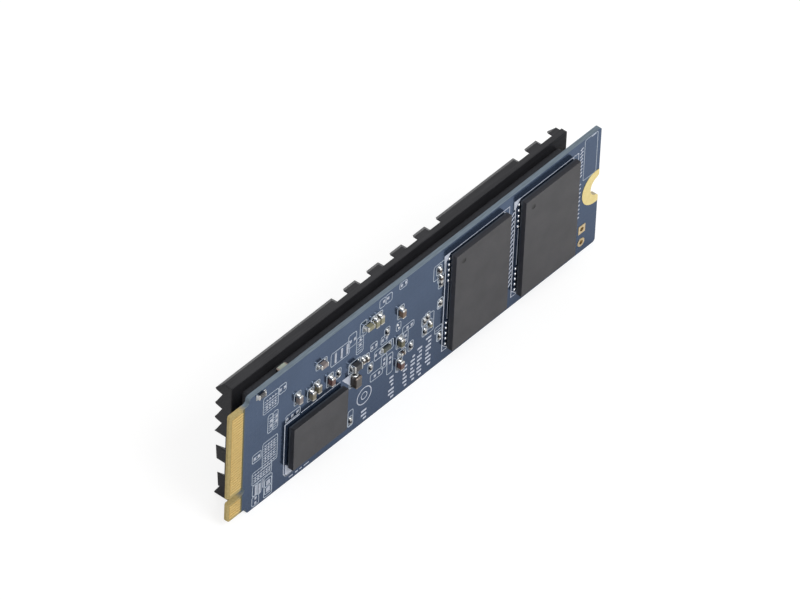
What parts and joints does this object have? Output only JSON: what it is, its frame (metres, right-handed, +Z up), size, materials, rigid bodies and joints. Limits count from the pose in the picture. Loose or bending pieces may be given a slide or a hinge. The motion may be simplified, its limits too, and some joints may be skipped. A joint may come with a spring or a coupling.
{
  "type": "m.2 solid state drive",
  "caption": "Narrow solid state drive board with an edge connector, chip packages on both faces and a black ridged heatsink on the far face.",
  "frame": {"origin": "middle of the bounding box at the height of the lower long edges, on which the drive stands", "axes": "+X from the edge connector to the screw notch, +Y from the open face of the board through to the heatsink's ridges, +Z up across the board's 22 mm width"},
  "size_m": [0.08, 0.0076, 0.022],
  "materials": {
    "board": "gloss blue solder mask over glass laminate",
    "gold": "gold plated copper",
    "tin": "tinned copper",
    "package_laminate": "dark green laminate",
    "mould_compound": "matte black mould compound",
    "solder": "solder",
    "chip_ends": "tin plated ends",
    "resistor_body": "black glaze over alumina",
    "ferrite": "dark ferrite",
    "capacitor_ceramic": "brown ceramic",
    "crystal_ceramic": "pale ceramic",
    "crystal_metal": "plated lid",
    "thermal_pad": "soft silicone sheet",
    "heatsink": "black anodised",
    "legend_ink": "white legend ink"
  },
  "bodies": {
    "root": {"bead_bodies": "ferrite", "bead_ends": "chip_ends", "circuit_board": "board", "controller_balls": "solder", "controller_laminate": "package_laminate", "controller_mould": "mould_compound", "crystal_base": "crystal_ceramic", "crystal_lid": "crystal_metal", "edge_contacts_front": "gold", "edge_contacts_rear": "gold", "flash_front_balls": "solder", "flash_front_laminates": "package_laminate", "flash_front_moulds": "mould_compound", "flash_rear_balls": "solder", "flash_rear_laminates": "package_laminate", "flash_rear_moulds": "mould_compound", "flash_test_pads": "tin", "footprint_pads": "tin", "header_hole_plating": "gold", "heatsink": "heatsink", "large_capacitor_bodies": "capacitor_ceramic", "large_capacitor_ends": "chip_ends", "low_capacitor_bodies": "capacitor_ceramic", "low_capacitor_ends": "chip_ends", "memory_front_balls": "solder", "memory_front_laminate": "package_laminate", "memory_front_mould": "mould_compound", "memory_rear_balls": "solder", "memory_rear_laminate": "package_laminate", "memory_rear_mould": "mould_compound", "power_chip": "mould_compound", "power_coil_bodies": "ferrite", "power_coil_ends": "chip_ends", "resistor_bodies": "resistor_body", "resistor_ends": "chip_ends", "screw_notch_plating": "gold", "small_capacitor_bodies": "capacitor_ceramic", "small_capacitor_ends": "chip_ends", "tall_capacitor_bodies": "capacitor_ceramic", "tall_capacitor_ends": "chip_ends", "thermal_pad": "thermal_pad"}
  },
  "joints": []
}
